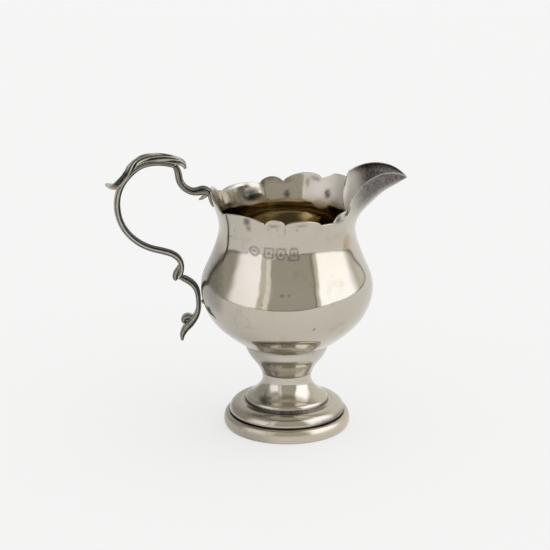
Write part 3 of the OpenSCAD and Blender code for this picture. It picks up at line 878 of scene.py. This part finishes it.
# %% Rim plate and solder pad
def domed_patch(name, centre_z, radius, thick, slot, node, soil_and_shade):
    """A round patch that follows the bowl's wall at the back: its height over the wall falls from thick in
    the middle to nothing at its edge as (1 - d^2)^0.35, and its last row is sunk into the wall."""
    turn = np.radians(np.arange(0, 360, 7.5))[None]
    d = np.sin(np.linspace(0.04, 1, 12) * math.pi / 2)[:, None]
    d = np.vstack([d, d[-1:]])
    height = 0.05 + thick * (1 - d ** 2) ** 0.35 + 0 * turn
    height[-1] = -0.2
    y, z = radius * d * np.cos(turn), centre_z + radius * d * np.sin(turn)
    grid = np.stack([-np.sqrt((bowl_radius(z) + height) ** 2 - y ** 2), y, z], axis=-1)
    return add_piece(name, grid, slot, node, soil_and_shade)


domed_patch("rim_patch", 85.2, 3, 1.15, "cast_silver", "rim_plate", 0.62)
domed_patch("belly_solder", 46.4, 0.85, 1.0, "silver_solder", "belly_pad", 0.5)

# %% [markdown]
# ## Finishes
# Silver is a metal, so all of its colour is in what it reflects, times a faint warm tint. Old table silver
# is not a perfect mirror: thousands of fine scratches blur it a little, and a thin yellow-brown tarnish
# lies in patches. The finish is built from the same few layers on each piece, with different amounts.
# Finishes and sky are both trees of nodes, so one class holds the short words for building them.

# %% Node helpers
class Nodes:
    """Short words for building a tree of nodes."""

    def __init__(self, tree):
        self.tree = tree
        self.tree.nodes.clear()

    def node(self, kind, **settings):
        """A new node with its settings."""
        node = self.tree.nodes.new(kind)
        for name, value in settings.items():
            setattr(node, name, value)
        return node

    def link(self, source, target):
        """Joins an output to an input."""
        self.tree.links.new(source, target)

    def maths(self, operation, *values):
        """The outcome of one sum on sockets or plain numbers."""
        node = self.node("ShaderNodeMath", operation=operation)
        for socket, value in zip(node.inputs, values):
            if isinstance(value, (int, float)):
                socket.default_value = value
            else:
                self.link(value, socket)
        return node.outputs[0]

    def remap(self, value, low, high, to_low=0.0, to_high=1.0, interpolation="LINEAR"):
        """Value low becomes to_low and high becomes to_high, held there beyond them."""
        node = self.node("ShaderNodeMapRange", interpolation_type=interpolation)
        for name, number in (("From Min", low), ("From Max", high), ("To Min", to_low), ("To Max", to_high)):
            node.inputs[name].default_value = number
        self.link(value, node.inputs["Value"])
        return node.outputs[0]


class Finish(Nodes):
    """A metal material: a shader, and the nodes that its looks are made of."""

    def __init__(self, name):
        self.material = bpy.data.materials.new(name)
        self.material.use_nodes = True
        super().__init__(self.material.node_tree)
        self.shader = self.node("ShaderNodeBsdfPrincipled")
        self.shader.inputs["Metallic"].default_value = 1.0
        self.link(self.shader.outputs[0], self.node("ShaderNodeOutputMaterial").inputs["Surface"])
        self.place = self.node("ShaderNodeTexCoord").outputs["Object"]

    def noise(self, scale, detail=2.0, rough=0.5, stretch=None, turn=None):
        """Noise of about 1 / scale metres, between 0 and 1, on object coordinates that may be stretched
        first."""
        place = self.place
        if stretch:
            mapping = self.node("ShaderNodeMapping")
            mapping.inputs["Scale"].default_value = stretch
            mapping.inputs["Rotation"].default_value = turn or (0, 0, 0)
            self.link(place, mapping.inputs["Vector"])
            place = mapping.outputs[0]
        texture = self.node("ShaderNodeTexNoise")
        texture.inputs["Scale"].default_value = scale
        texture.inputs["Detail"].default_value = detail
        texture.inputs["Roughness"].default_value = rough
        self.link(place, texture.inputs["Vector"])
        return texture.outputs["Fac"]

    def mix(self, share, a, b):
        """Colour a where share is 0 and b where it is 1. Each is a colour or a socket."""
        node = self.node("ShaderNodeMix", data_type="RGBA")
        self.link(share, node.inputs["Factor"])
        for name, value in (("A", a), ("B", b)):
            socket = [i for i in node.inputs if i.name == name and i.type == "RGBA"][0]
            if isinstance(value, tuple):
                socket.default_value = (*value, 1)
            else:
                self.link(value, socket)
        return [o for o in node.outputs if o.type == "RGBA"][0]

    def attribute(self, name):
        """The number that the mesh holds at each point under this name."""
        return self.node("ShaderNodeAttribute", attribute_name=name).outputs["Fac"]


# %% [markdown]
# The layers, from the metal up: a slow drift between a cooler and a warmer tone, brownish tarnish in soft
# patches, worn places, the film of cream, and near-black soil with tiny specks where polishing doesn't
# reach, which also lays on the painted shade and painted dark reflections. On top of that come hairline
# scratches as a bump.

# %% Silver finish
BROWN, WORN = (0.56, 0.45, 0.28), (0.74, 0.70, 0.65)  # under a cream film, and worn matt
TARNISH = (0.80, 0.72, 0.60)  # what tarnish leaves of the warm tone
WORN_TINT, WORN_ROUGH, SOIL_ROUGH = 0.75, 0.42, 0.22
HAIR_DEPTH = 0.00002  # metres


def silver(name, tone, warm, gloss, soil_and_shade_colour, tarnish=0.5, scratches=0.35):
    """Silver of a given tone. gloss is the roughness where it is cleanest, tarnish how strong the patches
    are and scratches how deep the hairlines are."""
    f = Finish(name)
    drift = f.remap(f.noise(45, 3), 0.35, 0.65)
    colour = f.mix(drift, tone, warm)
    patches = f.remap(f.noise(110, 5, 0.6), 0.56, 0.72, 0, tarnish)
    colour = f.mix(patches, colour, tuple(c * k for c, k in zip(warm, TARNISH)))
    matte = f.attribute("matte")
    colour = f.mix(f.maths("MULTIPLY", matte, WORN_TINT), colour, WORN)
    film = f.maths("MULTIPLY", f.attribute("brown"), f.remap(f.noise(350, 3), 0.3, 0.7, 0.85, 1))
    colour = f.mix(film, colour, BROWN)
    # Near-black soil: real tarnish, and also the painted shade and painted dark reflections that the mesh's
    # number carries.
    soil_and_shade = f.maths("ADD", f.attribute("soil_and_shade"), f.remap(f.noise(420, 4, 0.65), 0.66, 0.76, 0, 0.25))
    ragged = f.maths("MULTIPLY", soil_and_shade, f.remap(f.noise(900, 3), 0.3, 0.7, 0.82, 1.1))
    soil_and_shade_share = f.remap(ragged, 0.0, 1.0)
    colour = f.mix(soil_and_shade_share, colour, soil_and_shade_colour)
    f.link(colour, f.shader.inputs["Base Color"])
    hairs = f.maths("ADD", f.noise(900, 2, 0.5, (1, 1, 0.04), (0.5, 0.3, 0.1)),
                    f.noise(900, 2, 0.5, (0.05, 1, 1), (0.2, 0.9, 0.6)))
    rough = f.remap(f.noise(70, 4), 0.35, 0.7, gloss, gloss + 0.06)
    rough = f.maths("ADD", rough, f.maths("MULTIPLY", soil_and_shade_share, SOIL_ROUGH))
    rough = f.maths("ADD", rough, f.maths("MULTIPLY", matte, WORN_ROUGH))
    f.link(rough, f.shader.inputs["Roughness"])
    bump = f.node("ShaderNodeBump")
    bump.inputs["Strength"].default_value = scratches
    bump.inputs["Distance"].default_value = HAIR_DEPTH
    f.link(hairs, bump.inputs["Height"])
    f.link(bump.outputs[0], f.shader.inputs["Normal"])
    return f.material


FINISHES = {
    "raised_silver": silver("old_polished_silver", (0.565, 0.53, 0.46), (0.54, 0.49, 0.41), 0.07,
                            (0.06, 0.052, 0.056)),
    "cast_silver": silver("cast_silver_with_soil", (0.56, 0.54, 0.49), (0.52, 0.48, 0.42), 0.12,
                          (0.03, 0.028, 0.026), 0.4, 0.5),
    "silver_solder": silver("dull_solder", (0.45, 0.42, 0.38), (0.42, 0.38, 0.33), 0.3, (0.04, 0.035, 0.03))}
for piece in [o for o in scene.objects if o.type == "MESH" and "soil_and_shade" in o.data.attributes]:
    finish = FINISHES[piece["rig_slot"]]
    piece.data.materials.append(finish)
    print(piece.name, "->", finish.name)

# %% [markdown]
# ## Floor, light and camera
# A small product studio: a pale sheet under the jug, two tall windows of soft light in front, and a dim
# room between them. A silver jug shows that room, so the light is painted as a sky: a function of the
# direction alone. The sheet gives off most of its own light, as paper lit from below does, which keeps the
# jug's shadow faint.

# %% Floor
FLOOR_HALF, FLOOR_GREY, FLOOR_GLOW = 3000, 0.3, 0.605


def floor_sheet():
    """A flat square far larger than the view."""
    rows = np.array([[-FLOOR_HALF, FLOOR_HALF]] * 2, float)
    grid = np.stack([rows, rows.T, np.full((2, 2), -0.01)], axis=-1)
    mesh = bpy.data.meshes.new("floor")
    mesh.from_pydata((grid.reshape(-1, 3) * MM).tolist(), [], [(0, 2, 3, 1)])
    sheet = bpy.data.objects.new("floor", mesh)
    scene.collection.objects.link(sheet)
    return sheet


floor = floor_sheet()
paper = bpy.data.materials.new("pale_paper")
paper.use_nodes = True
lit = paper.node_tree.nodes["Principled BSDF"].inputs
lit["Base Color"].default_value = (FLOOR_GREY, FLOOR_GREY, FLOOR_GREY, 1)
lit["Roughness"].default_value = 0.9
lit["Specular IOR Level"].default_value = 0.1
lit["Emission Color"].default_value = (1.0, 1.0, 0.995, 1)
lit["Emission Strength"].default_value = FLOOR_GLOW
floor.data.materials.append(paper)
print(f"floor {2 * FLOOR_HALF * MM:.0f} m across")

# %% [markdown]
# The sky has these parts, by direction: a dim room all round, a bright window on each side of the front
# with a frame beside it, and paler walls behind. A direction's compass angle is measured from the front,
# which is -Y.

# %% Sky
world = bpy.data.worlds.new("studio")
scene.world = world
world.use_nodes = True
sky = Nodes(world.node_tree)


def soft_step(value, low, high):
    """A smooth 0 to 1 as value goes from low to high, or 1 to 0 if low is the larger."""
    ends = (0, 1) if low < high else (1, 0)
    return sky.remap(value, min(low, high), max(low, high), *ends, "SMOOTHSTEP")


direction = sky.node("ShaderNodeTexCoord").outputs["Generated"]
split = sky.node("ShaderNodeSeparateXYZ")
sky.link(direction, split.inputs[0])
east, north, up = split.outputs
compass = sky.maths("ARCTAN2", east, sky.maths("MULTIPLY", north, -1.0))
compass = sky.maths("MULTIPLY", compass, 180 / math.pi)


def window(left, right, soft_left, soft_right, low, high, strength, tint):
    """A soft bright panel between two compass angles and two heights, as a coloured brightness."""
    span = sky.maths("MULTIPLY", soft_step(compass, left - soft_left, left + soft_left),
                     soft_step(compass, right + soft_right, right - soft_right))
    rise = sky.maths("MULTIPLY", soft_step(up, low - 0.02, low + 0.02),
                     soft_step(up, high + 0.1, high - 0.1))
    share = sky.maths("MULTIPLY", span, rise)
    colour = sky.node("ShaderNodeVectorMath", operation="SCALE")
    colour.inputs[0].default_value = tuple(c * strength for c in tint)
    sky.link(share, colour.inputs["Scale"])
    return colour.outputs[0]


def sky_sum(a, b):
    """Two coloured brightnesses added."""
    node = sky.node("ShaderNodeVectorMath", operation="ADD")
    sky.link(a, node.inputs[0])
    sky.link(b, node.inputs[1])
    return node.outputs[0]


def scaled(colour, share):
    """A colour socket times a number socket."""
    node = sky.node("ShaderNodeVectorMath", operation="SCALE")
    sky.link(colour, node.inputs[0])
    sky.link(share, node.inputs["Scale"])
    return node.outputs[0]


PARTS = [  # left, right, soft left, soft right, lowest, highest (as the sine of the height), strength, tint
    (-200, 200, 1, 1, -2, 2, 0.5, (1.0, 0.985, 0.88)),        # the room
    (-82, -42, 7, 1.2, -0.5, 0.66, 1.0, (1.0, 1.01, 1.14)),   # left window
    (-43, -32, 1.2, 1.2, -0.5, 0.84, 0.3, (1.0, 0.98, 0.95)),      # its frame
    (-32.5, -26.5, 1.0, 1.0, -0.5, 0.84, 0.62, (1.0, 1.0, 1.0)),   # and a narrow pane beside it
    (35.5, 38.5, 0.8, 0.8, -0.5, 0.84, -0.2, (1.0, 1.0, 1.0)),     # a dark post, which takes light away
    (39.5, 46, 1.0, 1.0, -0.5, 0.84, 0.3, (0.98, 1.0, 0.88)),       # the right window's frame
    (45.5, 106, 1.0, 10, -0.5, 0.86, 1.35, (0.96, 1.0, 1.12)),  # right window
    (112, 200, 15, 1, -2, 0.7, 0.34, (1.0, 0.98, 0.96)),      # walls behind
    (-200, -150, 1, 25, -2, 0.7, 0.22, (1.0, 0.98, 0.96))]
studio = None
for part in PARTS:
    socket = window(*part)
    studio = socket if studio is None else sky_sum(studio, socket)
# The room is darker overhead and in a thin line at floor level.
ceiling = soft_step(up, 0.93, 0.84)
skirting = sky.maths("MULTIPLY", soft_step(up, -0.03, -0.015), soft_step(up, 0.03, 0.012))
kept = sky.maths("MULTIPLY", sky.maths("MULTIPLY_ADD", ceiling, 0.72, 0.28),
                 sky.maths("MULTIPLY_ADD", skirting, -0.55, 1.0))
glow = sky.node("ShaderNodeBackground")
sky.link(scaled(studio, kept), glow.inputs["Color"])

# %% [markdown]
# The floor is lit by a plain overcast glow, a little stronger from the right, which gives the jug its faint
# shadow on the left. Only the silver sees the windows, as if black cloth kept their light off the paper.

# %% Light on the floor
haze = sky.node("ShaderNodeBackground")
haze.inputs["Color"].default_value = (1.0, 1.0, 0.995, 1)
sky.link(sky.maths("MULTIPLY_ADD", soft_step(east, -0.5, 0.8), 0.34, 0.87), haze.inputs["Strength"])
plain = sky.node("ShaderNodeBackground")
plain.inputs["Color"].default_value = (0.9, 0.9, 0.9, 1)
ray = sky.node("ShaderNodeLightPath")


def sky_choice(share, no, yes):
    """The background no where share is 0, and yes where it is 1."""
    node = sky.node("ShaderNodeMixShader")
    for socket, value in zip(node.inputs, (share, no, yes)):
        sky.link(value, socket)
    return node.outputs[0]


seen = sky_choice(ray.outputs["Is Glossy Ray"], haze.outputs[0], glow.outputs[0])
seen = sky_choice(ray.outputs["Is Camera Ray"], seen, plain.outputs[0])
sky.link(seen, sky.node("ShaderNodeOutputWorld").inputs["Surface"])
print(f"sky of {len(PARTS)} parts")

# %% [markdown]
# The camera looks slightly down from about a metre away with a long lens, which keeps the foot's rings flat
# and the handle in proportion.

# %% Camera
LOOK_AT, DISTANCE, TILT = (-4.315, 0.0, 56.58), 971.0, math.radians(18.4)
camera_data = bpy.data.cameras.new("camera")
camera_data.sensor_width, camera_data.lens = 36.0, 176.73
camera_data.clip_start, camera_data.clip_end = 0.05, 20.0
camera = bpy.data.objects.new("camera", camera_data)
scene.collection.objects.link(camera)
camera.location = (LOOK_AT[0] * MM, (LOOK_AT[1] - DISTANCE * math.cos(TILT)) * MM,
                   (LOOK_AT[2] + DISTANCE * math.sin(TILT)) * MM)
camera.rotation_euler = (math.pi / 2 - TILT, 0, 0)
scene.camera = camera
scene.view_settings.view_transform = "Standard"
print("camera", [round(v, 3) for v in camera.location])
